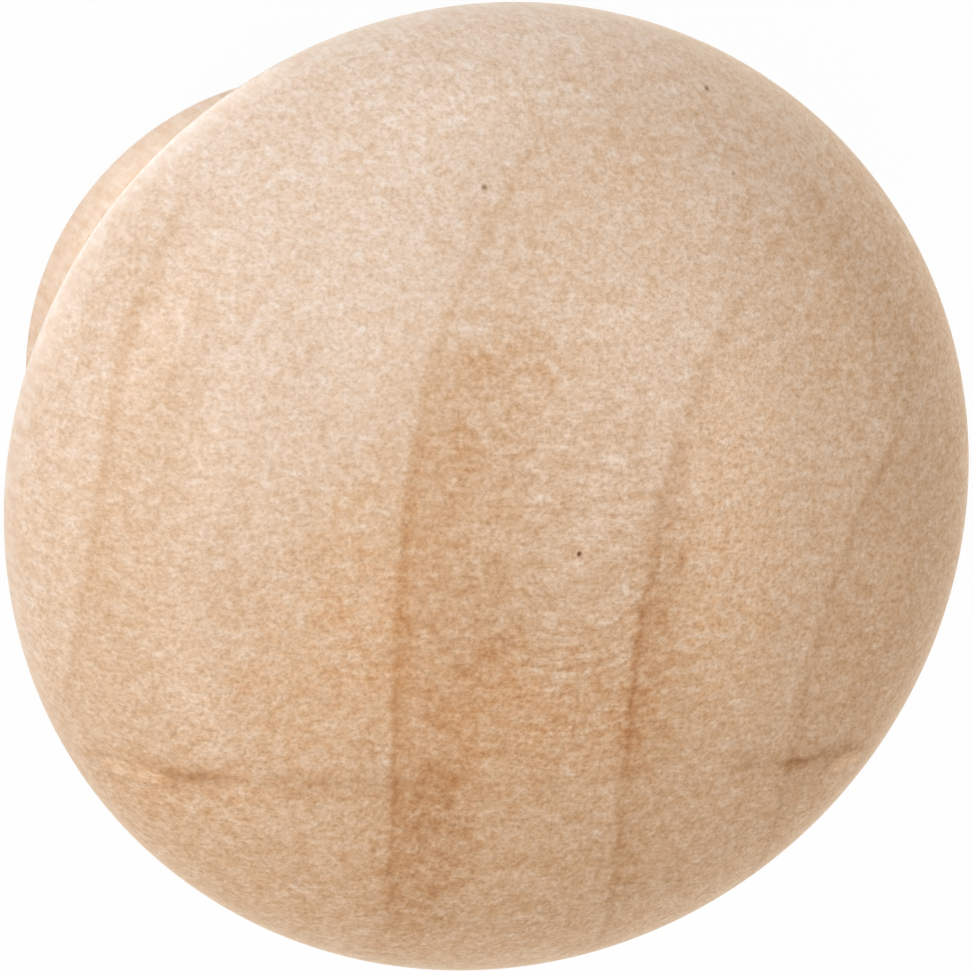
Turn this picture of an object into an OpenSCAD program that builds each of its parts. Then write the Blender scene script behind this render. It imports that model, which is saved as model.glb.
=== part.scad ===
// Turned wooden cabinet knob.
// One piece of close-grained hardwood, turned about its own axis: a domed round head,
// a coved neck and a flat-backed foot that is drilled up the middle for a screw.
// The origin is the centre of the flat back and +Z runs along the axis, out to the face.

/* [Head] */
// Largest diameter of the head
head_d = 38; // [34:0.5:44]
// Radius of the domed face
face_r = 43; // [36:1:80]
// Radius that rounds the face over into the rim
edge_r = 8; // [6:0.5:9]
// Radius that rounds the back of the rim under
rim_back_r = 4; // [2.5:0.5:5]
// Height of the whole knob, from the flat back to the middle of the face
knob_h = 33; // [30:0.5:38]

/* [Neck] */
// Diameter at the throat, the thinnest place
neck_d = 16; // [13:0.5:18]

/* [Foot] */
// Diameter of the foot
foot_d = 23.4; // [21:0.2:27]
// Height of the foot's straight side, up to where the flare meets it
foot_h = 3.5; // [2.5:0.1:5]
// Radius that softens the edge round the flat back
foot_edge_r = 0.6; // [0.3:0.1:1]
// Radius that softens the edge between the side of the foot and the flare
foot_top_r = 1; // [0.4:0.1:1.6]

/* [Screw hole] */
// Diameter of the pilot hole
hole_d = 3.5; // [3:0.1:4.5]
// Depth of the hole's full diameter, from the flat back
hole_depth = 16; // [12:0.5:18]
// Angle of the drill's point
drill_angle = 118; // [90:1:140]
// Width and depth of the chamfer at the hole's mouth
mouth_chamfer = 0.5; // [0.2:0.1:0.8]

/* [Centre mark] */
// Diameter of the small pit that the lathe leaves in the middle of the face
pit_d = 0.5; // [0.2:0.1:1]
// Depth of that pit
pit_depth = 0.3; // [0.1:0.1:0.6]

/* [Hidden] */
// Facets of a full circle in the preview
$fn = 180;
// How far a cutter runs past the surface that it opens, in mm and in degrees
past = 1;
past_angle = 5;

head_r = head_d / 2;
neck_r = neck_d / 2;
foot_r = foot_d / 2;
hole_r = hole_d / 2;

// The face arc and the edge arc are tangent, so their centres and the point where
// they meet lie on one line, at edge_angle above the plane of the widest diameter.
edge_x = head_r - edge_r;
face_drop = sqrt(pow(face_r - edge_r, 2) - pow(edge_x, 2));
edge_angle = atan2(face_drop, edge_x);
// Height of the widest plane above the flat back
wide_z = knob_h - face_r + face_drop;

// The upper cove runs level into the underside of the rim, straight below the
// centre of the rim's back round, so its radius is what is left of the overhang.
rim_x = head_r - rim_back_r;
cove_r = rim_x - neck_r;
rim_z = wide_z - rim_back_r;
throat_z = rim_z - cove_r;

// The flare leaves the throat upright and ends on the top corner of the foot's side.
flare_out = foot_r - neck_r;
flare_r = (pow(flare_out, 2) + pow(throat_z - foot_h, 2)) / (2 * flare_out);

// A small round breaks that corner, touching the side of the foot and the flare.
flare_x = neck_r + flare_r;
round_x = foot_r - foot_top_r;
round_z = throat_z - sqrt(pow(flare_r + foot_top_r, 2) - pow(flare_x - round_x, 2));
round_angle = atan2(throat_z - round_z, flare_x - round_x);
meet_x = round_x + foot_top_r * cos(round_angle);
meet_z = round_z + foot_top_r * sin(round_angle);

// A slice of a disc about c, between the angles a0 and a1, less than 180 apart
module slice(c, r, a0, a1) {
  reach = 2 * r;
  middle = (a0 + a1) / 2;
  translate(c) intersection() {
    circle(r = r);
    polygon([
      [0, 0],
      reach * [cos(a0), sin(a0)],
      reach * [cos(middle), sin(middle)],
      reach * [cos(a1), sin(a1)]
    ]);
  }
}

// The head above its widest plane: the domed face and the rounded edge
module front_section() {
  intersection() {
    slice([0, wide_z - face_drop], face_r, edge_angle, 90);
    translate([0, wide_z]) square([head_r, knob_h - wide_z + past]);
  }
  slice([edge_x, wide_z], edge_r, 0, edge_angle + past_angle);
}

// Everything below the widest plane, with the coves cut out of a plain outline
module back_section() {
  difference() {
    polygon([
      [0, 0],
      [foot_r - foot_edge_r, 0],
      [foot_r - foot_edge_r, foot_edge_r],
      [foot_r, foot_edge_r],
      [foot_r, round_z],
      [meet_x, meet_z],
      [flare_x, throat_z],
      [rim_x, throat_z],
      [rim_x, wide_z],
      [0, wide_z]
    ]);
    slice([flare_x, throat_z], flare_r, 180, 180 + round_angle + past_angle);
    slice([rim_x, throat_z], cove_r, 90, 180);
  }
  slice([rim_x, wide_z], rim_back_r, -90, 0);
  slice([round_x, round_z], foot_top_r, 0, round_angle + past_angle);
  slice([foot_r - foot_edge_r, foot_edge_r], foot_edge_r, -90, 0);
}

// The blind screw hole, with the drill's point at its end and a chamfer at its mouth
module screw_hole() {
  point_h = hole_r / tan(drill_angle / 2);
  translate([0, 0, -past]) cylinder(h = hole_depth + past, r = hole_r);
  translate([0, 0, hole_depth]) cylinder(h = point_h, r1 = hole_r, r2 = 0);
  translate([0, 0, -past])
    cylinder(h = mouth_chamfer + past, r1 = hole_r + mouth_chamfer + past, r2 = hole_r);
}

// The lathe's centre mark, a small cone sunk in the middle of the face
module centre_mark() {
  widen = past * pit_d / 2 / pit_depth;
  translate([0, 0, knob_h - pit_depth])
    cylinder(h = pit_depth + past, r1 = 0, r2 = pit_d / 2 + widen);
}

module knob() {
  color("burlywood") difference() {
    rotate_extrude() {
      front_section();
      back_section();
    }
    screw_hole();
    centre_mark();
  }
}

knob();
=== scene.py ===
"""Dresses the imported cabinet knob: its turned body, its bare wood and the studio it stands in."""

import logging
import math
from dataclasses import dataclass
from enum import Enum

import bpy
from mathutils import Matrix, Vector


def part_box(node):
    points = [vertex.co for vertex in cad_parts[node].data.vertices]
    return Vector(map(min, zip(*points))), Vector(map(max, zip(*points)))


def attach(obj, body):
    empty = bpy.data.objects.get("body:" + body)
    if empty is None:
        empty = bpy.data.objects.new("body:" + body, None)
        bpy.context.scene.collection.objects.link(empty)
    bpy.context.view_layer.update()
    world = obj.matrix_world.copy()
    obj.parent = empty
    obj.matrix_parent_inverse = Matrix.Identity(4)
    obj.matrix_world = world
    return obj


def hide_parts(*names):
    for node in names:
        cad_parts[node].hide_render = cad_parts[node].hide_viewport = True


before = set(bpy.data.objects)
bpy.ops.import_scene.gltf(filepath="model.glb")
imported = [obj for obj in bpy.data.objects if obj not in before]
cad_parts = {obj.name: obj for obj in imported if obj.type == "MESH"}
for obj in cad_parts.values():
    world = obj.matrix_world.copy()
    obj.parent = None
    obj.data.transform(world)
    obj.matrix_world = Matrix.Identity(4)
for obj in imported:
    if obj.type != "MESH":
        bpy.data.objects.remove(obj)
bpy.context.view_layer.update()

LOG = logging.getLogger("knob")
MM = 0.001

# How much the body has shrunk along the growth lines, as wood does that dries after turning.
SHRINK_ALONG_RINGS = 0.9843

Triple = tuple[float, float, float]


class Op(Enum):
    """What a Math or Vector Math node does."""

    ADD = "ADD"
    SUBTRACT = "SUBTRACT"
    MULTIPLY = "MULTIPLY"
    DIVIDE = "DIVIDE"
    POWER = "POWER"
    ABSOLUTE = "ABSOLUTE"
    EXPONENT = "EXPONENT"
    MULTIPLY_ADD = "MULTIPLY_ADD"
    DOT_PRODUCT = "DOT_PRODUCT"


class Num:
    """A shader value that Python's operators turn into Math nodes."""

    def __init__(self, graph: "Graph", socket: bpy.types.NodeSocket) -> None:
        """Wraps a socket.

        Args:
            graph: The node graph that new nodes go into.
            socket: The output socket that holds the value.
        """
        self.graph = graph
        self.socket = socket

    def __add__(self, other: "Num | float") -> "Num":
        """Returns the sum."""
        return self.graph.math(Op.ADD, self, other)

    __radd__ = __add__

    def __mul__(self, other: "Num | float") -> "Num":
        """Returns the product."""
        return self.graph.math(Op.MULTIPLY, self, other)

    __rmul__ = __mul__

    def __sub__(self, other: "Num | float") -> "Num":
        """Returns the difference."""
        return self.graph.math(Op.SUBTRACT, self, other)

    def __rsub__(self, other: float) -> "Num":
        """Returns a number less this value."""
        return self.graph.math(Op.SUBTRACT, other, self)

    def __truediv__(self, other: "Num | float") -> "Num":
        """Returns the quotient."""
        return self.graph.math(Op.DIVIDE, self, other)

    def __pow__(self, other: float) -> "Num":
        """Returns this value raised to a power."""
        return self.graph.math(Op.POWER, self, other)

    def __neg__(self) -> "Num":
        """Returns the value with its sign turned."""
        return self.graph.math(Op.MULTIPLY, self, -1.0)

    def __abs__(self) -> "Num":
        """Returns the value without its sign."""
        return self.graph.math(Op.ABSOLUTE, self)


@dataclass(frozen=True)
class Grain:
    """Smooth random cells: their size in mm, and the number and strength of their finer layers."""

    size: Triple
    detail: float = 0.0
    rough: float = 0.5


class Graph:
    """Adds and links the nodes of one material or world."""

    def __init__(self, tree: bpy.types.NodeTree) -> None:
        """Starts with an empty tree.

        Args:
            tree: The node tree, which is emptied.
        """
        self.tree = tree
        self.tree.nodes.clear()

    def node(self, kind: str, settings: dict | None = None, **sockets: object) -> bpy.types.Node:
        """Adds a node of any kind.

        Args:
            kind: The node's type name in Blender.
            settings: Attributes that are set before the sockets.
            **sockets: Values or links, by identifier, or by name with underscores for spaces.

        Returns:
            The new node.
        """
        made = self.tree.nodes.new(kind)
        for key, value in (settings or {}).items():
            setattr(made, key, value)
        for key, value in sockets.items():
            self.feed(self._socket(made, key), value)
        return made

    def _socket(self, made: bpy.types.Node, key: str) -> bpy.types.NodeSocket:
        """Finds an input of a node.

        Args:
            made: The node.
            key: The input's identifier, or its name with underscores for spaces.

        Returns:
            The input.

        Raises:
            KeyError: The node has no such input.
        """
        for socket in made.inputs:
            if key in (socket.identifier, socket.name.replace(" ", "_")) and socket.enabled:
                return socket
        raise KeyError(f"{made.bl_idname} has no input {key}")

    def feed(self, target: bpy.types.NodeSocket, value: object) -> None:
        """Gives an input its value.

        Args:
            target: The input.
            value: A wrapped value or a socket to link, or the number or numbers to set.
        """
        if isinstance(value, Num):
            value = value.socket
        if isinstance(value, bpy.types.NodeSocket):
            self.tree.links.new(value, target)
        else:
            target.default_value = value

    def math(self, operation: Op, *values: "Num | float") -> Num:
        """Adds a Math node.

        Args:
            operation: What the node does.
            *values: One to three values, in the node's order.

        Returns:
            The wrapped result.
        """
        made = self.node("ShaderNodeMath", {"operation": operation.value})
        for target, value in zip(made.inputs, values):
            self.feed(target, value)
        return Num(self, made.outputs[0])

    def vector(self, operation: Op, *values: object) -> bpy.types.NodeSocket:
        """Adds a Vector Math node.

        Args:
            operation: What the node does.
            *values: One to three vectors, in the node's order.

        Returns:
            The resulting vector's socket.
        """
        made = self.node("ShaderNodeVectorMath", {"operation": operation.value})
        for target, value in zip(made.inputs, values):
            self.feed(target, value)
        return made.outputs["Vector"]

    def square(self, value: bpy.types.NodeSocket) -> Num:
        """Measures a vector.

        Args:
            value: The vector.

        Returns:
            Its squared length.
        """
        made = self.node(
            "ShaderNodeVectorMath", {"operation": Op.DOT_PRODUCT.value},
            Vector=value, Vector_001=value,
        )
        return Num(self, made.outputs["Value"])

    def split(self, where: bpy.types.NodeSocket) -> tuple[Num, Num, Num]:
        """Returns a vector's three parts."""
        made = self.node("ShaderNodeSeparateXYZ", Vector=where)
        return tuple(Num(self, part) for part in made.outputs)

    def clamp(self, value: Num, low: float = 0.0, high: float = 1.0) -> Num:
        """Returns a value held between two limits."""
        return Num(self, self.node("ShaderNodeClamp", Value=value, Min=low, Max=high).outputs[0])

    def exp(self, value: Num) -> Num:
        """Returns e raised to a value."""
        return self.math(Op.EXPONENT, value)

    def bell(self, off: Num, width: float) -> Num:
        """Returns 1 at no distance, falling to 0 over about twice the width."""
        near = off * (1 / width)
        return self.exp(-(near * near))

    def cells(
        self, where: bpy.types.NodeSocket, grain: Grain, turn: float = 0.0
    ) -> bpy.types.Node:
        """Adds smooth noise.

        Args:
            where: The coordinates, in mm.
            grain: The noise's cells.
            turn: The cells' turn about the knob's axis, in radians.

        Returns:
            The noise node.
        """
        place = self.node(
            "ShaderNodeMapping", {"vector_type": "TEXTURE"},
            Vector=where, Rotation=(0.0, 0.0, turn), Scale=grain.size,
        ).outputs[0]
        return self.node(
            "ShaderNodeTexNoise", Vector=place, Scale=1.0,
            Detail=grain.detail, Roughness=grain.rough,
        )

    def noise(self, where: bpy.types.NodeSocket, grain: Grain, turn: float = 0.0) -> Num:
        """Returns smooth noise between 0 and 1, from the same arguments as cells."""
        return Num(self, self.cells(where, grain, turn).outputs[0])

    def swing(self, where: bpy.types.NodeSocket, grain: Grain, turn: float = 0.0) -> Num:
        """Returns smooth noise centred on 0, from the same arguments as cells."""
        return self.noise(where, grain, turn) - 0.5


def new_material(name: str) -> bpy.types.Material:
    """Starts a material.

    Args:
        name: The material's name.

    Returns:
        The new material, which uses nodes.
    """
    material = bpy.data.materials.new(name)
    material.use_nodes = True
    return material


@dataclass(frozen=True)
class Spot:
    """A point of the wood in mm, as one vector and as its three parts."""

    where: bpy.types.NodeSocket
    x: Num
    y: Num
    z: Num


@dataclass(frozen=True)
class Ring:
    """One growth line: a thin dark sheet with a softer shade on its later side. Sizes are in mm.

    It leans by so many mm of X per mm of Y. Depth says how dark it is beside how brown it is.
    """

    at: float
    line_w: float
    line: float
    shade_w: float
    shade: float
    depth: float = 0.85
    low: float = -30.0
    high: float = 30.0
    fade: float = 3.0
    lean: float = 0.0


@dataclass(frozen=True)
class Bend:
    """A smooth turn of the growth lines. The width, in mm, says how slowly it sets in."""

    start: float
    width: float
    amount: float

    def push(self, value: Num) -> Num:
        """Returns how far the bend pushes the lines aside, flat below 0 and straight above it."""
        return (value + (value * value + self.width * self.width) ** 0.5) * 0.5 * self.amount


@dataclass(frozen=True)
class GrowthRings:
    """The growth lines: sheets that run down the knob and cross its face. Sizes are in mm.

    Two bends push them aside, one over the top of the face and one over its lower part. The taper
    moves them across by so many mm for each mm down the knob.
    """

    rings: tuple[Ring, ...] = (
        Ring(
            at=-22.00, line_w=0.13, line=0.50, shade_w=1.8, shade=0.32,
            high=14.0, fade=5.0, lean=0.078,
        ),
        Ring(
            at=-11.75, line_w=0.34, line=0.42, shade_w=0.7, shade=0.10,
            depth=0.3, low=-8.0, high=8.0, fade=5.0,
        ),
        Ring(
            at=-11.86, line_w=0.10, line=0.50, shade_w=0.4, shade=0.10,
            low=-14.0, high=-1.5, fade=3.0,
        ),
        Ring(
            at=-11.86, line_w=0.20, line=0.10, shade_w=3.4, shade=0.55,
            depth=0.25, low=-11.0, high=8.6, fade=1.6,
        ),
        Ring(at=-11.86, line_w=0.15, line=0.45, shade_w=0.6, shade=0.12, high=17.5, fade=4.0),
        Ring(
            at=-3.40, line_w=0.34, line=0.42, shade_w=0.9, shade=0.22,
            depth=0.5, low=-4.0, high=9.0, fade=6.0,
        ),
        Ring(
            at=-3.56, line_w=0.10, line=0.60, shade_w=0.33, shade=0.85,
            low=-8.9, high=-0.4, fade=2.0,
        ),
        Ring(
            at=-3.54, line_w=0.15, line=0.32, shade_w=0.8, shade=0.14,
            depth=1.5, high=13.0, fade=5.0,
        ),
        Ring(
            at=-3.54, line_w=0.18, line=0.32, shade_w=1.2, shade=0.34,
            depth=1.1, low=-15.0, high=-6.6, fade=2.4,
        ),
        Ring(at=2.49, line_w=0.13, line=0.38, shade_w=2.6, shade=0.16, depth=2.4, high=5.0),
    )
    top: Bend = Bend(start=0.765, width=15.67, amount=0.606)
    top_by_x: float = 0.567
    top_by_x_squared: float = 0.015
    lower: Bend = Bend(start=7.31, width=1.30, amount=0.199)
    taper: float = 0.02
    taper_from: float = 30.0
    wander: Grain = Grain((0.9, 0.9, 12.0), detail=2.0)
    wander_by: float = 0.35
    breaks: Grain = Grain((0.25, 0.5, 9.0), detail=1.0)
    breaks_by: float = 1.6
    breaks_least: float = 0.2
    onset: float = 8.0

    def shade(self, g: Graph, spot: Spot) -> tuple[Num, Num]:
        """Adds up the growth lines.

        Args:
            g: The node graph.
            spot: The point of the wood.

        Returns:
            How brown and how dark they make it.
        """
        across = self._across(spot) + g.swing(spot.where, self.wander) * self.wander_by
        breaks = g.noise(spot.where, self.breaks) * self.breaks_by + self.breaks_least
        brown: Num | float = 0.0
        dark: Num | float = 0.0
        for ring in self.rings:
            off = across - (spot.y * ring.lean + ring.at)
            line = g.bell(off, ring.line_w)
            after = g.clamp(off * self.onset) * g.exp(abs(off) * (-1 / ring.shade_w))
            span = g.clamp((spot.y - ring.low) / ring.fade) * g.clamp(
                (ring.high - spot.y) / ring.fade
            )
            shown = (line * ring.line + after * ring.shade) * span
            brown = brown + shown
            dark = dark + shown * ring.depth
        return brown * breaks, dark * breaks

    def _across(self, spot: Spot) -> Num:
        """Measures across the growth lines, which bend over towards the top.

        Args:
            spot: The point of the wood.

        Returns:
            The distance from the line that would pass through the middle.
        """
        x, y, z = spot.x, spot.y, spot.z
        up = y - self.top.start + x * self.top_by_x + x * x * self.top_by_x_squared
        bent = self.top.push(up) + self.lower.push(self.lower.start - y)
        return x - bent + (z - self.taper_from) * self.taper


@dataclass(frozen=True)
class Patch:
    """A soft column of deeper or paler colour that runs along the fibres. Sizes are in mm."""

    x: float
    y: float
    half_x: float
    half_y: float
    brown: float = 0.0
    dark: float = 0.0


@dataclass(frozen=True)
class StainsAndRimGlow:
    """The patches of deeper or paler wood, and one painted warm glow along the right edge of the
    face, with their edges made uneven. Sizes are in mm.
    """

    patches: tuple[Patch, ...] = (
        Patch(-4.7, -2.6, 2.2, 6.6, brown=0.42, dark=0.10),
        Patch(-3.6, 4.9, 2.4, 3.2, brown=0.24, dark=0.14),
        Patch(-2.4, 7.0, 2.4, 1.3, brown=0.32, dark=0.10),
        Patch(-3.3, -2.2, 1.9, 2.7, brown=0.18, dark=0.32),
        Patch(-7.9, -0.4, 1.5, 4.6, brown=0.46, dark=-0.30),
        Patch(-0.4, -5.9, 3.6, 2.7, brown=0.55, dark=-0.20),
        Patch(-4.7, -11.9, 1.7, 3.8, brown=0.76, dark=0.84),
        Patch(-9.6, -4.6, 3.2, 4.4, brown=0.34, dark=-0.36),
        Patch(3.2, -4.4, 1.1, 4.4, brown=0.66, dark=0.14),
        Patch(-3.6, 7.3, 0.5, 0.5, brown=0.45),
        Patch(-1.3, 6.8, 0.5, 0.6, brown=0.45),
        Patch(-4.3, 4.0, 0.7, 0.5, brown=0.60, dark=0.3),
        Patch(-2.4, 3.2, 0.5, 0.5, brown=0.50, dark=0.2),
        Patch(-2.7, -3.2, 0.8, 0.5, brown=0.60, dark=0.3),
        Patch(3.3, 0.2, 0.9, 2.4, brown=0.30, dark=0.25),
        Patch(3.0, 15.5, 5.0, 2.4, brown=0.25, dark=0.10),
        Patch(13.0, 9.5, 4.5, 5.0, brown=0.40, dark=0.15),
        # Painted warm glow: browner along the right edge of the face, standing in for warm bounce
        # light on that rim.
        Patch(18.2, 0.0, 1.6, 9.0, brown=0.40),
        Patch(-15.4, 10.6, 1.9, 4.4, brown=0.20, dark=0.28),
        Patch(-11.0, 8.0, 4.0, 5.0, brown=-0.20, dark=-0.10),
        Patch(2.0, 11.0, 3.4, 3.4, brown=0.10, dark=-0.15),
        Patch(0.8, 3.6, 2.0, 2.4, brown=0.18, dark=0.16),
        Patch(6.3, -0.4, 2.1, 7.4, brown=0.38, dark=-0.74),
        Patch(8.5, -7.5, 3.4, 3.0, brown=-0.25, dark=0.15),
        Patch(13.0, 2.6, 1.4, 4.0, dark=0.30),
        Patch(-7.6, 9.2, 2.6, 3.0, brown=-0.10, dark=-0.35),
        Patch(-17.6, -5.4, 2.0, 3.6, brown=-0.10, dark=-0.35),
        Patch(5.0, -13.0, 4.4, 3.4, brown=-0.08, dark=0.20),
        Patch(3.4, -13.4, 0.8, 1.2, brown=0.15, dark=0.20),
        Patch(-18.0, 0.6, 2.2, 2.4, dark=-0.28),
        Patch(-13.4, -9.7, 2.6, 1.4, brown=0.38, dark=-0.34),
        Patch(-2.8, -6.5, 2.8, 2.4, brown=0.28, dark=-0.08),
        Patch(-6.2, 13.0, 1.8, 1.8, brown=-0.14, dark=-0.22),
        Patch(-1.6, 9.8, 2.4, 3.0, brown=0.18),
        Patch(0.0, -12.8, 2.4, 2.2, brown=0.08, dark=0.20),
        Patch(7.0, 11.2, 1.6, 1.8, brown=0.12, dark=0.20),
    )
    edge: float = 0.7
    warp: Grain = Grain((1.3, 1.3, 16.0), detail=1.0)
    warp_by: float = 2.6

    def shade(self, g: Graph, spot: Spot) -> tuple[Num, Num]:
        """Adds up the patches.

        Args:
            g: The node graph.
            spot: The point of the wood.

        Returns:
            How brown and how dark they make it.
        """
        moved = g.vector(Op.ADD, spot.where, self._warp(g, spot))
        brown: Num | float = 0.0
        dark: Num | float = 0.0
        for patch in self.patches:
            scale = (1 / patch.half_x, 1 / patch.half_y, 0.0)
            shift = (-patch.x / patch.half_x, -patch.y / patch.half_y, 0.0)
            square = g.square(g.vector(Op.MULTIPLY_ADD, moved, scale, shift))
            soft = g.exp(-(square * square * self.edge))
            if patch.brown:
                brown = brown + soft * patch.brown
            if patch.dark:
                dark = dark + soft * patch.dark
        return brown, dark

    def _warp(self, g: Graph, spot: Spot) -> bpy.types.NodeSocket:
        """Makes a small wandering offset across the fibres.

        Args:
            g: The node graph.
            spot: The point of the wood.

        Returns:
            The offset, in mm.
        """
        noise = g.cells(spot.where, self.warp).outputs["Color"]
        centred = g.vector(Op.SUBTRACT, noise, (0.5, 0.5, 0.5))
        return g.vector(Op.MULTIPLY, centred, (self.warp_by, self.warp_by, 0.0))


@dataclass(frozen=True)
class Lean:
    """How far the rays lean in one part of the face, and where that part's middle is."""

    degrees: float
    middle: float


@dataclass(frozen=True)
class Zone:
    """A soft round or oval part of the face, in mm."""

    x: float
    half_x: float
    y: float
    half_y: float

    def cover(self, g: Graph, x: Num, y: Num) -> Num:
        """Returns 1 in the zone's middle, falling to 0 outside it."""
        return g.bell(x - self.x, self.half_x) * g.bell(y - self.y, self.half_y)


@dataclass(frozen=True)
class RayStreaks:
    """Fine streaks that lie along the wood's rays as they lean. Sizes are in mm.

    The lean turns from the first to the last over a length of the face, and the streaks are
    strongest in one zone.
    """

    leans: tuple[Lean, ...] = (Lean(degrees=-4.0, middle=0.0), Lean(degrees=-36.0, middle=1.0))
    grain: Grain = Grain((1.3, 0.18, 1.6), detail=1.0)
    rise: float = 0.25
    turn_from: float = -1.0
    turn_over: float = 16.0
    strong: Zone = Zone(x=0.5, half_x=6.5, y=2.0, half_y=9.0)
    least: float = 0.4
    more: float = 1.5

    def mark(self, g: Graph, spot: Spot) -> Num:
        """Makes the streaks.

        Args:
            g: The node graph.
            spot: The point of the wood.

        Returns:
            Their strength, centred on 0.
        """
        height = spot.y + spot.x * self.rise
        part = g.clamp((height - self.turn_from) / self.turn_over)
        total: Num | float = 0.0
        for lean in self.leans:
            weight = 1.0 - abs(part - lean.middle)
            total = total + g.swing(spot.where, self.grain, math.radians(lean.degrees)) * weight
        return total * (self.least + self.strong.cover(g, spot.x, height) * self.more)


@dataclass(frozen=True)
class TurningMarks:
    """The fine marks that turning leaves round the axis, strongest near the middle."""

    per_mm_out: float = 4.6
    per_mm_up: float = 2.6
    per_mm_aside: float = 0.15
    waver: float = 0.10
    detail: float = 1.5
    cover: Grain = Grain((2.2, 2.2, 6.0), detail=1.0)
    cover_by: float = 4.0
    cover_least: float = 1.2
    cover_most: float = 1.6
    ring_r: float = 4.0
    ring_w: float = 3.2
    below: Zone = Zone(x=-0.2, half_x=2.8, y=-6.4, half_y=5.6)
    everywhere: float = 0.18
    on_ring: float = 0.55
    on_below: float = 0.9
    amount: float = 3.2

    def mark(self, g: Graph, spot: Spot) -> Num:
        """Makes the marks.

        Args:
            g: The node graph.
            spot: The point of the wood.

        Returns:
            Their strength, centred on 0.
        """
        radius = (spot.x * spot.x + spot.y * spot.y) ** 0.5
        along = g.node(
            "ShaderNodeCombineXYZ", X=radius * self.per_mm_out,
            Y=spot.z * self.per_mm_up, Z=spot.x * self.per_mm_aside,
        ).outputs[0]
        aside = g.vector(Op.MULTIPLY, spot.where, (self.waver, self.waver, 0.0))
        wavy = g.vector(Op.ADD, along, aside)
        marks = Num(g, g.node(
            "ShaderNodeTexNoise", Vector=wavy, Scale=1.0, Detail=self.detail,
        ).outputs[0])
        cover = g.noise(spot.where, self.cover) * self.cover_by - self.cover_least
        cover = g.clamp(cover, 0.0, self.cover_most)
        on_ring = g.bell(radius - self.ring_r, self.ring_w)
        on_below = self.below.cover(g, spot.x, spot.y)
        strength = self.everywhere + on_ring * self.on_ring + on_below * self.on_below
        return (marks - 0.5) * strength * cover * self.amount


@dataclass(frozen=True)
class Eye:
    """A pale oval at one end of the trace. It tilts by so many mm of Y per mm of X."""

    x: float
    y: float
    tilt: float


@dataclass(frozen=True)
class Stretch:
    """A length of the trace that shows, with soft ends. Sizes are in mm."""

    start: float
    fade_in: float
    end: float
    fade_out: float

    def cover(self, g: Graph, x: Num) -> Num:
        """Returns 1 along the stretch and 0 outside it."""
        return g.clamp((x - self.start) / self.fade_in) * g.clamp((self.end - x) / self.fade_out)


@dataclass(frozen=True)
class Knot:
    """A short dark part of the trace. Sizes are in mm."""

    x: float
    half_x: float
    half_y: float
    amount: float


@dataclass(frozen=True)
class Trace:
    """The dark trace across the lower face, and the pale eyes at its ends. Sizes are in mm.

    Only its two ends show, left and right. It is part of the head and fades out below it.
    """

    y: float = -8.95
    sag: float = 0.35
    sag_over: float = 12.0
    wander: Grain = Grain((0.9, 3.0, 30.0), detail=2.0)
    wander_by: float = 0.9
    line: float = 0.6
    line_w: float = 0.2
    soft: float = 0.55
    soft_w: float = 0.7
    breaks: Grain = Grain((0.8, 0.5, 9.0), detail=1.0)
    breaks_by: float = 1.7
    breaks_least: float = 0.15
    left: Stretch = Stretch(start=-15.9, fade_in=0.5, end=-4.4, fade_out=2.0)
    right: Stretch = Stretch(start=6.6, fade_in=1.2, end=14.2, fade_out=0.6)
    deep_x: float = 12.3
    deep_half_x: float = 1.3
    deep_by: float = 1.1
    knots: tuple[Knot, ...] = (
        Knot(x=-13.5, half_x=0.8, half_y=0.34, amount=1.2),
        Knot(x=10.1, half_x=0.8, half_y=0.14, amount=2.0),
    )
    eyes: tuple[Eye, ...] = (
        Eye(x=-15.1, y=-9.15, tilt=-0.08),
        Eye(x=12.65, y=-9.82, tilt=0.06),
    )
    eye_half_x: float = 0.85
    eye_half_y: float = 0.36
    eye_edge: float = 1.3
    eye_sharp: float = 2.2
    rim: float = 0.65
    rim_w: float = 0.28
    rim_least: float = 0.1
    fades_below: float = 20.0
    fade: float = 4.0

    def shade(self, g: Graph, spot: Spot) -> tuple[Num, Num]:
        """Makes the trace and its eyes.

        Args:
            g: The node graph.
            spot: The point of the wood.

        Returns:
            How dark the trace is, and how pale the eyes are.
        """
        x, y = spot.x, spot.y
        wander = g.swing(spot.where, self.wander) * self.wander_by
        off = y - self.y + wander + g.clamp(x / self.sag_over) * self.sag
        breaks = g.noise(spot.where, self.breaks)
        band = g.bell(off, self.line_w) * self.line + g.bell(off, self.soft_w) * self.soft
        dark = band * self._shown(g, x) * (breaks * self.breaks_by - self.breaks_least)
        for knot in self.knots:
            near = g.bell(x - knot.x, knot.half_x) * g.bell(off, knot.half_y)
            dark = dark + near * knot.amount
        pale: Num | float = 0.0
        for eye in self.eyes:
            along = (x - eye.x) * (1 / self.eye_half_x)
            across = (y - eye.y - (x - eye.x) * eye.tilt) * (1 / self.eye_half_y)
            out = (along * along + across * across) ** 0.5
            pale = pale + g.clamp((self.eye_edge - out) * self.eye_sharp)
            rim = g.bell(out - self.eye_edge, self.rim_w) * (breaks + self.rim_least)
            dark = dark + rim * self.rim
        upper = g.clamp((spot.z - self.fades_below) / self.fade)
        return dark * upper, pale * upper

    def _shown(self, g: Graph, x: Num) -> Num:
        """Returns how much of the trace shows from left to right: its two ends, not its middle."""
        deeper = 1.0 + g.bell(x - self.deep_x, self.deep_half_x) * self.deep_by
        return self.left.cover(g, x) + self.right.cover(g, x) * deeper


@dataclass(frozen=True)
class Speck:
    """A single round spot that darkens the wood, or lightens it where the depth is below 0. Sizes
    are in mm.
    """

    x: float
    y: float
    r: float
    depth: float


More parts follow.
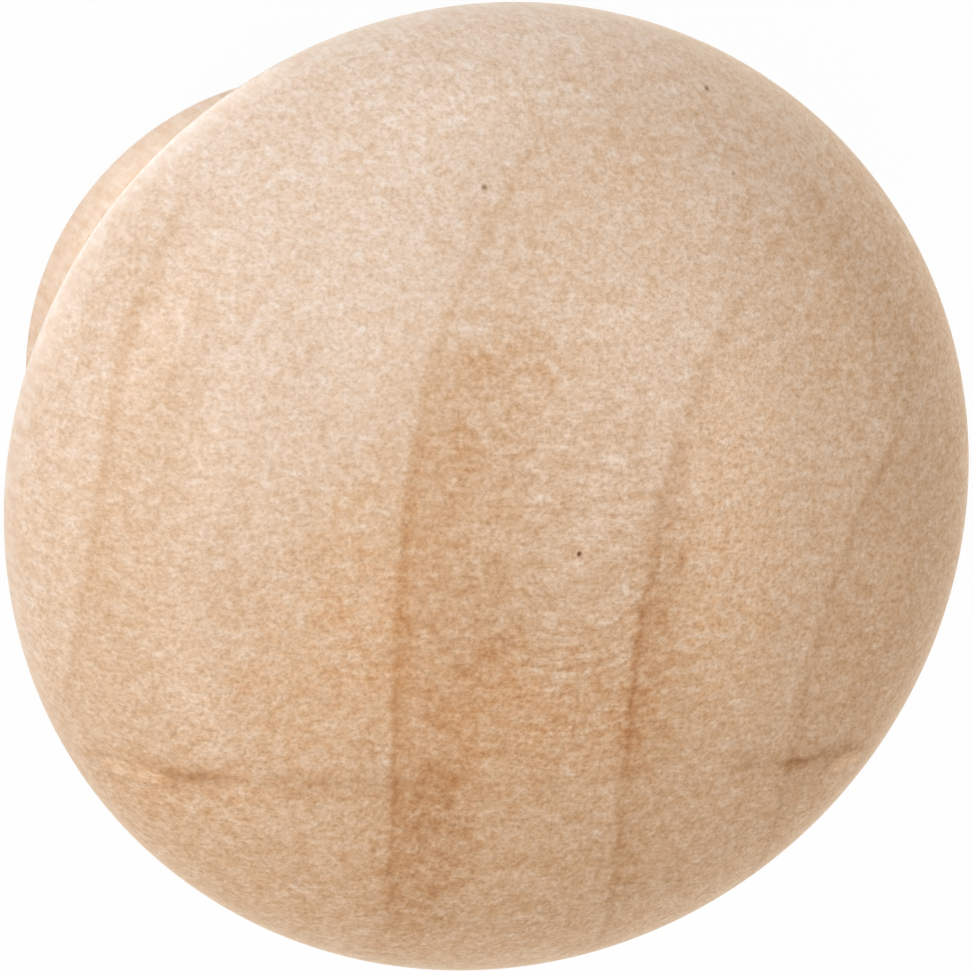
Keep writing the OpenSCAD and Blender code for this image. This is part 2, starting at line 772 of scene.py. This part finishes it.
@dataclass(frozen=True)
class PoresAndPaintedPit:
    """The few pores that stand out one by one, with the painted shade in the lathe pit and the
    painted highlight on its rim.
    """

    pores_and_painted_pit: tuple[Speck, ...] = (
        Speck(x=-3.48, y=13.6, r=0.085, depth=1.0),
        Speck(x=6.2, y=16.5, r=0.08, depth=0.9),
        Speck(x=6.5, y=13.7, r=0.06, depth=0.5),
        # Painted shade: darkens the lathe pit in the middle of the face.
        Speck(x=0.0, y=0.0, r=0.10, depth=0.45),
        # Painted highlight: pale spots on the lathe pit's rim, where it catches the light.
        Speck(x=0.27, y=0.17, r=0.16, depth=-0.16),
        Speck(x=-0.03, y=-0.38, r=0.13, depth=-0.12),
    )

    def mark(self, g: Graph, spot: Spot) -> Num:
        """Adds up the pores and the pit's painted shade and highlight.

        Args:
            g: The node graph.
            spot: The point of the wood.

        Returns:
            How dark they make it.
        """
        total: Num | float = 0.0
        for speck in self.pores_and_painted_pit:
            away = g.vector(Op.SUBTRACT, spot.where, (speck.x, speck.y, 0.0))
            flat = g.vector(Op.MULTIPLY, away, (1 / speck.r, 1 / speck.r, 0.0))
            total = total + g.exp(-g.square(flat)) * speck.depth
        return total


@dataclass(frozen=True)
class Layer:
    """How brown and how dark one layer makes the wood at its full strength."""

    brown: float
    dark: float = 0.0


@dataclass(frozen=True)
class Wood:
    """Bare, pale, fine-grained wood with its end grain on the face. Sizes are in mm.

    Each layer adds to two scales, brown and dark. One unit of either takes its loss, a share of
    red, green and blue, from the base colour. The fall is how much browner the wood gets for each
    mm along X and along Y. Browner wood has livelier grain. A fine fuzz and a weak film catch the
    light where the surface turns away.
    """

    name: str = "bare_wood"
    base: Triple = (0.772, 0.522, 0.338)
    brown_loss: Triple = (0.06, 0.17, 0.30)
    dark_loss: Triple = (0.108, 0.132, 0.158)
    least: float = 0.005
    most: float = 0.95

    rings: GrowthRings = GrowthRings()
    stains_and_rim_glow: StainsAndRimGlow = StainsAndRimGlow()
    streaks: RayStreaks = RayStreaks()
    turning: TurningMarks = TurningMarks()
    trace: Trace = Trace()
    pores_and_painted_pit: PoresAndPaintedPit = PoresAndPaintedPit()

    fine_grain: Grain = Grain((0.20, 0.17, 0.3), detail=1.0, rough=0.95)
    mid_grain: Grain = Grain((0.50, 0.42, 0.9), detail=1.0, rough=0.6)
    mottle_grain: Grain = Grain((1.5, 1.1, 12.0), detail=1.0)
    fibre_grain: Grain = Grain((0.34, 0.34, 7.0), detail=2.0, rough=0.7)
    fine: Layer = Layer(brown=1.2, dark=4.6)
    mid: Layer = Layer(brown=2.4, dark=0.9)
    mottle: Layer = Layer(brown=0.55)
    fibre: Layer = Layer(brown=1.8, dark=1.4)
    streak: Layer = Layer(brown=0.7, dark=0.9)
    turned: Layer = Layer(brown=0.45, dark=0.45)
    traced: Layer = Layer(brown=0.5, dark=1.2)
    speck_dark: float = 9.0
    eye_pale: float = 1.35
    fine_skew: float = 0.18
    fine_shift: float = 0.015
    fine_lost_on_sides: float = 0.7
    patchy_by_mid: float = 1.2
    lively: float = 0.25
    lively_limits: tuple[float, float] = (-0.6, 1.4)
    side_from: float = 0.2
    side_sharp: float = 6.0
    fall: tuple[float, float] = (0.015, -0.055)
    fall_limits: tuple[float, float] = (-0.95, 0.55)

    roughness: float = 0.42
    rough_by_fine: float = 0.10
    rough_by_dark: float = 0.03
    rough_limits: tuple[float, float] = (0.2, 0.9)
    bump: float = 0.5
    bump_height: float = 0.06
    fuzz: float = 0.18
    fuzz_roughness: float = 0.3
    fuzz_tint: Triple = (1.0, 0.93, 0.84)
    film: float = 0.8
    film_ior: float = 1.22
    film_roughness: float = 0.2

    def build(self) -> bpy.types.Material:
        """Makes the material.

        Returns:
            The finished material.
        """
        material = new_material(self.name)
        g = Graph(material.node_tree)
        spot = self._spot(g)
        side = self._side(g)
        fine = g.swing(spot.where, self.fine_grain)
        fine = fine + abs(fine) * self.fine_skew - self.fine_shift
        fine = fine * (1.0 - side * self.fine_lost_on_sides)
        brown, dark = self._shade(g, spot, fine, side)
        bump = g.node(
            "ShaderNodeBump", Strength=self.bump, Distance=self.bump_height * MM, Height=-fine,
        )
        rough = self.roughness + fine * self.rough_by_fine + dark * self.rough_by_dark
        shader = g.node(
            "ShaderNodeBsdfPrincipled", Base_Color=self._colour(g, brown, dark),
            Roughness=g.clamp(rough, *self.rough_limits), Normal=bump.outputs[0],
            Sheen_Weight=self.fuzz, Sheen_Roughness=self.fuzz_roughness,
            Sheen_Tint=(*self.fuzz_tint, 1.0), Coat_Weight=self.film, Coat_IOR=self.film_ior,
            Coat_Roughness=self.film_roughness,
        )
        g.node("ShaderNodeOutputMaterial", Surface=shader.outputs[0])
        return material

    def _spot(self, g: Graph) -> Spot:
        """Finds the point of the wood from the object's own coordinates.

        Args:
            g: The node graph.

        Returns:
            The point, in mm.
        """
        coords = g.node("ShaderNodeTexCoord").outputs["Object"]
        where = g.node(
            "ShaderNodeMapping", {"vector_type": "POINT"}, Vector=coords,
            Scale=(1 / MM, 1 / (MM * SHRINK_ALONG_RINGS), 1 / MM),
        ).outputs[0]
        return Spot(where, *g.split(where))

    def _side(self, g: Graph) -> Num:
        """Tells long grain from end grain by the way the surface faces.

        Args:
            g: The node graph.

        Returns:
            1 where the surface runs along the fibres, and 0 where it cuts across them.
        """
        facing = g.node("ShaderNodeTexCoord").outputs["Normal"]
        upright = abs(g.split(facing)[2])
        return g.clamp((self.side_from - upright) * self.side_sharp)

    def _shade(self, g: Graph, spot: Spot, fine: Num, side: Num) -> tuple[Num, Num]:
        """Adds up the layers of the wood.

        Args:
            g: The node graph.
            spot: The point of the wood.
            fine: The finest grain, centred on 0.
            side: 1 on long grain and 0 on end grain.

        Returns:
            How brown and how dark the wood is.
        """
        # The wood's patches, and the painted warm glow along the right rim.
        brown, dark = self.stains_and_rim_glow.shade(g, spot)
        ring_brown, ring_dark = self.rings.shade(g, spot)
        trace_dark, trace_pale = self.trace.shade(g, spot)
        streak = self.streaks.mark(g, spot)
        turned = self.turning.mark(g, spot)
        # The pores, with painted shade in the lathe pit and a painted highlight on its rim.
        speck = self.pores_and_painted_pit.mark(g, spot)
        mid = g.swing(spot.where, self.mid_grain)
        mottle = g.swing(spot.where, self.mottle_grain)
        fibre = g.swing(spot.where, self.fibre_grain) * side
        fall = g.clamp(spot.x * self.fall[0] + spot.y * self.fall[1], *self.fall_limits)
        patchy = 1.0 + mottle + mid * self.patchy_by_mid
        lively = 1.0 + g.clamp(brown + fall, *self.lively_limits) * self.lively
        grain_brown: Num | float = 0.0
        grain_dark: Num | float = 0.0
        for value, layer in (
            (mid, self.mid), (mottle, self.mottle), (streak, self.streak),
            (fine, self.fine), (fibre, self.fibre),
        ):
            grain_brown = grain_brown + value * layer.brown
            if layer.dark:
                grain_dark = grain_dark + value * layer.dark
        brown = brown * patchy + ring_brown + fall + grain_brown * lively
        dark = dark * patchy + ring_dark + grain_dark * lively
        brown = brown + turned * self.turned.brown + trace_dark * self.traced.brown
        dark = dark + turned * self.turned.dark + trace_dark * self.traced.dark
        return brown, dark + speck * self.speck_dark - trace_pale * self.eye_pale

    def _colour(self, g: Graph, brown: Num, dark: Num) -> bpy.types.NodeSocket:
        """Turns brownness and darkness into colour.

        Args:
            g: The node graph.
            brown: How brown the wood is.
            dark: How dark it is.

        Returns:
            The colour's socket.
        """
        parts: list[Num] = []
        for level, by_brown, by_dark in zip(self.base, self.brown_loss, self.dark_loss):
            kept = g.exp(brown * math.log(1 - by_brown) + dark * math.log(1 - by_dark))
            parts.append(g.clamp(kept * level, self.least, self.most))
        red, green, blue = parts
        return g.node("ShaderNodeCombineColor", Red=red, Green=green, Blue=blue).outputs[0]


@dataclass
class TurnedBody:
    """The turned body, drawn as a half outline that is spun about the axis. Sizes are in mm."""

    head_r: float
    height: float = 33.0
    face_r: float = 43.0
    edge_r: float = 8.0
    rim_back_r: float = 4.0
    neck_r: float = 8.0
    foot_r: float = 11.7
    foot_h: float = 3.5
    foot_edge_r: float = 0.6
    foot_top_r: float = 1.0
    hole_r: float = 1.75
    hole_depth: float = 16.0
    drill_angle: float = 118.0
    mouth_chamfer: float = 0.5
    pit_r: float = 0.1
    pit_depth: float = 0.3

    spin_steps: int = 256
    pit_steps: int = 2
    face_steps: int = 84
    edge_steps: int = 40
    rim_steps: int = 20
    cove_steps: int = 24
    flare_steps: int = 20
    shoulder_steps: int = 5
    side_steps: int = 3
    foot_edge_steps: int = 6
    back_steps: int = 14
    bore_steps: int = 10
    weld: float = 0.0002
    smooth_angle: float = 35.0

    def build(self) -> bpy.types.Object:
        """Spins the outline into the finished body.

        Returns:
            The body's object, at the origin.
        """
        bpy.ops.object.select_all(action="DESELECT")
        bpy.ops.mesh.primitive_plane_add(
            size=MM, location=(0, 0, (self.height - self.pit_depth) * MM)
        )
        body = bpy.context.object
        body.name = "turned_body"
        bpy.ops.object.transform_apply(location=True)
        bpy.ops.object.mode_set(mode="EDIT")
        bpy.ops.mesh.select_mode(type="VERT")
        bpy.ops.mesh.select_all(action="SELECT")
        bpy.ops.mesh.merge(type="CENTER")
        self._outline()
        self._spin_about_axis()
        bpy.ops.object.mode_set(mode="OBJECT")
        bpy.ops.object.shade_smooth_by_angle(angle=math.radians(self.smooth_angle))
        return body

    def dress(self, body: bpy.types.Object, finish: Wood) -> None:
        """Gives the body its finish."""
        body.data.materials.append(finish.build())

    def _arc(self, centre_x: float, centre_z: float, degrees: float, steps: int) -> None:
        """Carries the outline's last point round a centre.

        Args:
            centre_x: The centre's distance from the axis.
            centre_z: The centre's height.
            degrees: How far the point turns, from +Z towards +X where positive.
            steps: How many equal steps it takes.
        """
        bpy.ops.mesh.spin(
            steps=steps, angle=-math.radians(degrees), use_normal_flip=False, dupli=False,
            center=(centre_x * MM, 0, centre_z * MM), axis=(0, 1, 0),
        )

    def _line(self, dx: float, dz: float, steps: int = 1) -> None:
        """Carries the outline's last point along a straight line.

        Args:
            dx: How far it moves away from the axis.
            dz: How far it rises.
            steps: How many equal steps it takes.
        """
        for _ in range(steps):
            bpy.ops.mesh.extrude_region_move(
                TRANSFORM_OT_translate={"value": (dx / steps * MM, 0, dz / steps * MM)}
            )

    def _outline(self) -> None:
        """Draws the half outline from the middle of the face to the end of the screw hole."""
        edge_x = self.head_r - self.edge_r
        face_drop = math.sqrt((self.face_r - self.edge_r) ** 2 - edge_x ** 2)
        edge_angle = math.degrees(math.atan2(face_drop, edge_x))
        wide_z = self.height - self.face_r + face_drop
        rim_x = self.head_r - self.rim_back_r
        cove_r = rim_x - self.neck_r
        throat_z = wide_z - self.rim_back_r - cove_r
        out = self.foot_r - self.neck_r
        flare_r = (out ** 2 + (throat_z - self.foot_h) ** 2) / (2 * out)
        flare_x = self.neck_r + flare_r
        shoulder_x = self.foot_r - self.foot_top_r
        reach = math.sqrt((flare_r + self.foot_top_r) ** 2 - (flare_x - shoulder_x) ** 2)
        shoulder_z = throat_z - reach
        shoulder_angle = math.degrees(math.atan2(reach, flare_x - shoulder_x))
        lip_angle = math.degrees(math.asin(self.pit_r / self.face_r))
        lip_drop = self.face_r * (1 - math.cos(math.radians(lip_angle)))
        mouth_r = self.hole_r + self.mouth_chamfer
        point_h = self.hole_r / math.tan(math.radians(self.drill_angle / 2))

        self._line(self.pit_r, self.pit_depth - lip_drop, self.pit_steps)
        self._arc(0, wide_z - face_drop, 90 - edge_angle - lip_angle, self.face_steps)
        self._arc(edge_x, wide_z, edge_angle, self.edge_steps)
        self._arc(rim_x, wide_z, 90, self.rim_steps)
        self._arc(rim_x, throat_z, -90, self.cove_steps)
        self._arc(flare_x, throat_z, -shoulder_angle, self.flare_steps)
        self._arc(shoulder_x, shoulder_z, shoulder_angle, self.shoulder_steps)
        self._line(0, self.foot_edge_r - shoulder_z, self.side_steps)
        self._arc(self.foot_r - self.foot_edge_r, self.foot_edge_r, 90, self.foot_edge_steps)
        self._line(mouth_r - self.foot_r + self.foot_edge_r, 0, self.back_steps)
        self._line(-self.mouth_chamfer, self.mouth_chamfer)
        self._line(0, self.hole_depth - self.mouth_chamfer, self.bore_steps)
        self._line(-self.hole_r, point_h)

    def _spin_about_axis(self) -> None:
        """Spins the outline a full turn, closes the seam and the poles and turns the faces out."""
        bpy.ops.mesh.select_all(action="SELECT")
        bpy.ops.mesh.spin(
            steps=self.spin_steps, angle=math.tau, dupli=False, center=(0, 0, 0), axis=(0, 0, 1),
        )
        bpy.ops.mesh.select_all(action="SELECT")
        bpy.ops.mesh.remove_doubles(threshold=self.weld * MM)
        bpy.ops.mesh.normals_make_consistent(inside=False)
        bpy.ops.transform.resize(value=(1, SHRINK_ALONG_RINGS, 1), center_override=(0, 0, 0))


@dataclass(frozen=True)
class Lamp:
    """A round soft lamp that faces the knob. Angles are in degrees and sizes in metres."""

    azimuth: float
    elevation: float
    watts: float
    size: float = 0.22
    distance: float = 0.5
    target: Triple = (0.0, 0.0, 0.02)
    spread: float = 180.0

    def place(self) -> None:
        """Adds the lamp to the scene, aimed at its target and unseen by the camera."""
        a, e = math.radians(self.azimuth), math.radians(self.elevation)
        away = Vector((math.cos(e) * math.cos(a), math.cos(e) * math.sin(a), math.sin(e)))
        data = bpy.data.lights.new("lamp", "AREA")
        data.shape = "DISK"
        data.size = self.size
        data.energy = self.watts
        data.spread = math.radians(self.spread)
        lamp = bpy.data.objects.new("lamp", data)
        lamp.location = Vector(self.target) + away * self.distance
        lamp.visible_camera = False
        lamp.rotation_mode = "QUATERNION"
        lamp.rotation_quaternion = (-away).to_track_quat("-Z", "Y")
        bpy.context.scene.collection.objects.link(lamp)


@dataclass(frozen=True)
class FloorFinish:
    """A white floor that takes the shadow and glows to the camera and to reflections.

    To the camera the glow is white. To reflections it is white on one side of the knob and warm
    on the other, where far is the share of white that stays. The turn, in degrees, sets which side
    is which, and the reach, in metres, how soft the change is.
    """

    name: str = "floor"
    white: float = 0.85
    glow: float = 1.01
    glow_share: float = 0.95
    warmth: Triple = (1.0, 0.68, 0.36)
    turn: float = 36.0
    reach: float = 0.05
    far: float = 0.35

    def build(self) -> bpy.types.Material:
        """Makes the material.

        Returns:
            The finished material.
        """
        material = new_material(self.name)
        g = Graph(material.node_tree)
        matte = g.node("ShaderNodeBsdfDiffuse", Color=(self.white, self.white, self.white, 1.0))
        bright = g.node("ShaderNodeEmission", Strength=self.glow)
        warm = g.node("ShaderNodeEmission", Color=(*self.warmth, 1.0))
        path = g.node("ShaderNodeLightPath")
        glossy = Num(g, path.outputs["Is Glossy Ray"])
        seen = Num(g, path.outputs["Is Camera Ray"]) + glossy
        a = math.radians(self.turn)
        x, y, _ = g.split(g.node("ShaderNodeTexCoord").outputs["Object"])
        along = y * math.sin(a) - x * math.cos(a)
        lit = g.clamp(along * (1 / self.reach) + 0.5, self.far, 1.0)
        glow = g.node(
            "ShaderNodeMixShader", Fac=glossy * (1.0 - lit),
            Shader=bright.outputs[0], Shader_001=warm.outputs[0],
        )
        mix = g.node(
            "ShaderNodeMixShader", Fac=seen * self.glow_share,
            Shader=matte.outputs[0], Shader_001=glow.outputs[0],
        )
        g.node("ShaderNodeOutputMaterial", Surface=mix.outputs[0])
        return material


@dataclass
class Studio:
    """The floor, the lamps, the world and the camera.

    The floor's sizes are in metres, and the camera's sizes in mm.
    """

    lamps: tuple[Lamp, ...] = (
        Lamp(azimuth=157, elevation=15, watts=0.62),
        Lamp(azimuth=145, elevation=5, watts=0.19),
        Lamp(azimuth=90, elevation=15, watts=0.36),
        Lamp(azimuth=225, elevation=38, watts=0.42),
        Lamp(azimuth=0, elevation=64, watts=0.52),
        Lamp(azimuth=180, elevation=64, watts=0.47),
        Lamp(
            azimuth=0, elevation=-90, watts=0.0017, size=0.034, distance=0.01,
            target=(-0.0245, 0.0205, 0.0108),
        ),
        Lamp(
            azimuth=140, elevation=8, watts=0.00014, size=0.02, distance=0.07,
            target=(-0.008, 0.007, 0.001), spread=30.0,
        ),
    )
    world_level: float = 0.3
    floor_size: float = 3.0
    floor_drop: float = 0.00002
    floor_finish: FloorFinish = FloorFinish()

    aim_z: float = 23.2265
    distance: float = 285.0
    tilt: float = 24.5
    lean: float = 36.0
    sensor: float = 36.0
    near_limit_m: float = 0.01
    px_per_mm: float = 501.0 / 19
    image_px: int = 972
    centre_px: tuple[float, float] = (490.2, 489.3)

    def build(self) -> None:
        """Sets the camera, the lamps, the world and the floor."""
        self._camera()
        for lamp in self.lamps:
            lamp.place()
        self._world()
        self._floor()
        bpy.context.scene.view_settings.view_transform = "Standard"

    def _world(self) -> None:
        """Lights the scene evenly from all round, and shows white behind it."""
        world = bpy.data.worlds.new("world")
        bpy.context.scene.world = world
        world.use_nodes = True
        g = Graph(world.node_tree)
        white = (1.0, 1.0, 1.0, 1.0)
        light = g.node("ShaderNodeBackground", Color=white, Strength=self.world_level)
        shown = g.node("ShaderNodeBackground", Color=white, Strength=1.0)
        path = g.node("ShaderNodeLightPath")
        mix = g.node(
            "ShaderNodeMixShader", Fac=path.outputs["Is Camera Ray"],
            Shader=light.outputs[0], Shader_001=shown.outputs[0],
        )
        g.node("ShaderNodeOutputWorld", Surface=mix.outputs[0])

    def _floor(self) -> None:
        """Adds the floor, set a hair below the knob's back."""
        bpy.ops.object.select_all(action="DESELECT")
        bpy.ops.mesh.primitive_plane_add(size=self.floor_size, location=(0, 0, -self.floor_drop))
        floor = bpy.context.object
        floor.name = "floor"
        floor.data.materials.append(self.floor_finish.build())

    def _camera(self) -> None:
        """Sets the camera on the knob's face, tilted towards the lower right."""
        t, a = math.radians(self.tilt), math.radians(self.lean)
        st, ct, sa, ca = math.sin(t), math.cos(t), math.sin(a), math.cos(a)
        right = Vector((ct * ca * ca + sa * sa, (1 - ct) * sa * ca, st * ca))
        up = Vector(((1 - ct) * ca * sa, ct * sa * sa + ca * ca, -st * sa))
        back = Vector((-st * ca, st * sa, ct))
        side = (self.image_px / 2 - self.centre_px[0]) / self.px_per_mm
        rise = (self.centre_px[1] - self.image_px / 2) / self.px_per_mm
        target = Vector((0, 0, self.aim_z)) + right * side + up * rise
        data = bpy.data.cameras.new("camera")
        data.sensor_width = self.sensor
        data.lens = self.sensor * self.px_per_mm * self.distance / self.image_px
        data.clip_start = self.near_limit_m
        view = bpy.data.objects.new("camera", data)
        basis = Matrix((right, up, back)).transposed().to_4x4()
        view.matrix_world = Matrix.Translation((target + back * self.distance) * MM) @ basis
        bpy.context.scene.collection.objects.link(view)
        bpy.context.scene.camera = view


def main() -> None:
    """Builds the piece, dresses it and sets the studio."""
    logging.basicConfig(level=logging.INFO)
    _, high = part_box("knob")
    knob = TurnedBody(head_r=high.x / MM)
    body = knob.build()
    knob.dress(body, Wood())
    LOG.info("%s: %d faces", body.name, len(body.data.polygons))
    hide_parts("knob")
    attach(body, "root")
    Studio().build()


if __name__ == "__main__":
    main()
